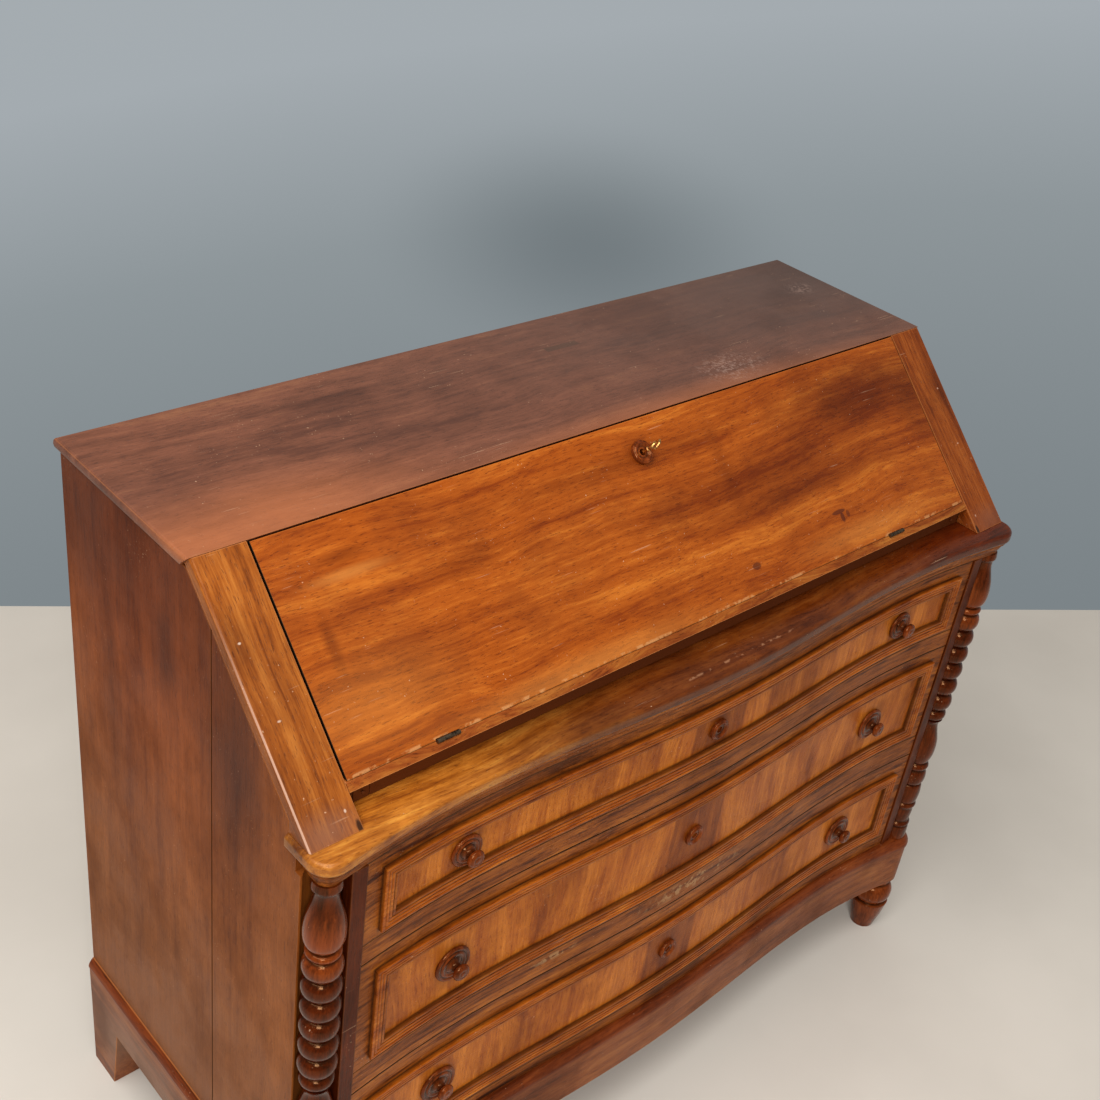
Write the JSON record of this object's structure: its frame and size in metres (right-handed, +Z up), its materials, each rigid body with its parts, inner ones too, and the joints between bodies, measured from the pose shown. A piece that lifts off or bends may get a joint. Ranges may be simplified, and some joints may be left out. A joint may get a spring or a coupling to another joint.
{
  "type": "slant-front writing bureau",
  "caption": "Slant-front writing bureau: a hinged fall over pigeonholes, serpentine drawers below, turned corner columns and feet.",
  "frame": {"origin": "on the floor, under the middle of the overall box", "axes": "+X to the right as seen by someone facing the drawers, +Y from the drawers' front to the back, +Z up"},
  "size_m": [1.211, 0.5345, 1.023],
  "materials": {
    "case_walnut": "polished walnut boards, worn shellac",
    "top_walnut": "polished walnut, reddish, worn shellac",
    "fall_walnut": "polished walnut with a warm gloss",
    "front_veneer": "walnut veneer with its figure upright, polished",
    "rail_veneer": "dark walnut veneer, polished",
    "moulding_walnut": "polished walnut moulding",
    "turned_walnut": "dark turned walnut, glossy",
    "inner_wood": "plain planed softwood",
    "old_brass": "aged brass",
    "dark_iron": "dark wrought iron"
  },
  "bodies": {
    "case": {"back_panel": "inner_wood", "bottom_board": "rail_veneer", "column_left": "turned_walnut", "column_right": "turned_walnut", "cornice_moulding": "rail_veneer", "front_foot_left": "turned_walnut", "front_foot_right": "turned_walnut", "front_post_left": "rail_veneer", "front_post_right": "rail_veneer", "hinge_left_sill_leaf": "dark_iron", "hinge_right_sill_leaf": "dark_iron", "ledge_board": "top_walnut", "lower_divider": "rail_veneer", "pigeonhole_gallery": "inner_wood", "plinth_front": "case_walnut", "plinth_left": "case_walnut", "plinth_right": "case_walnut", "side_left": "case_walnut", "side_right": "case_walnut", "sill_rail": "fall_walnut", "stile_left": "fall_walnut", "stile_right": "fall_walnut", "top_board": "top_walnut", "upper_divider": "rail_veneer", "writing_floor": "inner_wood"},
    "upper_drawer": {"upper_drawer_bottom": "inner_wood", "upper_drawer_box": "inner_wood", "upper_drawer_escutcheon": "turned_walnut", "upper_drawer_front": "front_veneer", "upper_drawer_knob_left": "turned_walnut", "upper_drawer_knob_right": "turned_walnut", "upper_drawer_lock": "dark_iron", "upper_drawer_moulding": "moulding_walnut"},
    "middle_drawer": {"middle_drawer_bottom": "inner_wood", "middle_drawer_box": "inner_wood", "middle_drawer_escutcheon": "turned_walnut", "middle_drawer_front": "front_veneer", "middle_drawer_knob_left": "turned_walnut", "middle_drawer_knob_right": "turned_walnut", "middle_drawer_lock": "dark_iron", "middle_drawer_moulding": "moulding_walnut"},
    "lower_drawer": {"lower_drawer_bottom": "inner_wood", "lower_drawer_box": "inner_wood", "lower_drawer_escutcheon": "turned_walnut", "lower_drawer_front": "front_veneer", "lower_drawer_knob_left": "turned_walnut", "lower_drawer_knob_right": "turned_walnut", "lower_drawer_lock": "dark_iron", "lower_drawer_moulding": "moulding_walnut"},
    "fall": {"fall_board": "fall_walnut", "fall_escutcheon": "turned_walnut", "fall_lock": "old_brass", "hinge_left_fall_leaf": "dark_iron", "hinge_right_fall_leaf": "dark_iron"},
    "key": {"fall_key": "old_brass"},
    "lock_bolt": {"fall_lock_bolt": "dark_iron"},
    "fall_support_left": {"fall_support_left": "fall_walnut"},
    "fall_support_right": {"fall_support_right": "fall_walnut"},
    "small_drawer_left": {"small_drawer_left": "inner_wood"},
    "small_drawer_right": {"small_drawer_right": "inner_wood"}
  },
  "joints": [
    {"name": "fall_hinge", "type": "hinge", "parent": "case", "child": "fall", "pos_m": [0, -0.20203, 0.84161], "axis": [1, 0, 0], "range_deg": [0, 138.5]},
    {"name": "key_turn", "type": "hinge", "parent": "fall", "child": "key", "pos_m": [0, -0.04579, 0.99197], "axis": [0, -0.6974, 0.7167], "range_deg": [0, 180]},
    {"name": "lock_bolt_slide", "type": "slide", "parent": "fall", "child": "lock_bolt", "axis": [0, 0.7167, 0.6974], "range_m": [0, 0.005]},
    {"name": "upper_drawer_slide", "type": "slide", "parent": "case", "child": "upper_drawer", "axis": [0, -1, 0], "range_m": [0, 0.3]},
    {"name": "middle_drawer_slide", "type": "slide", "parent": "case", "child": "middle_drawer", "axis": [0, -1, 0], "range_m": [0, 0.3]},
    {"name": "lower_drawer_slide", "type": "slide", "parent": "case", "child": "lower_drawer", "axis": [0, -1, 0], "range_m": [0, 0.3]},
    {"name": "fall_support_left_slide", "type": "slide", "parent": "case", "child": "fall_support_left", "axis": [0, -1, 0], "range_m": [0, 0.22]},
    {"name": "fall_support_right_slide", "type": "slide", "parent": "case", "child": "fall_support_right", "axis": [0, -1, 0], "range_m": [0, 0.22]},
    {"name": "small_drawer_left_slide", "type": "slide", "parent": "case", "child": "small_drawer_left", "axis": [0, -1, 0], "range_m": [0, 0.11]},
    {"name": "small_drawer_right_slide", "type": "slide", "parent": "case", "child": "small_drawer_right", "axis": [0, -1, 0], "range_m": [0, 0.11]}
  ],
  "couplings": [
    {"joint": "key_turn", "follows": "lock_bolt_slide", "rad_per_m": 628.31}
  ]
}
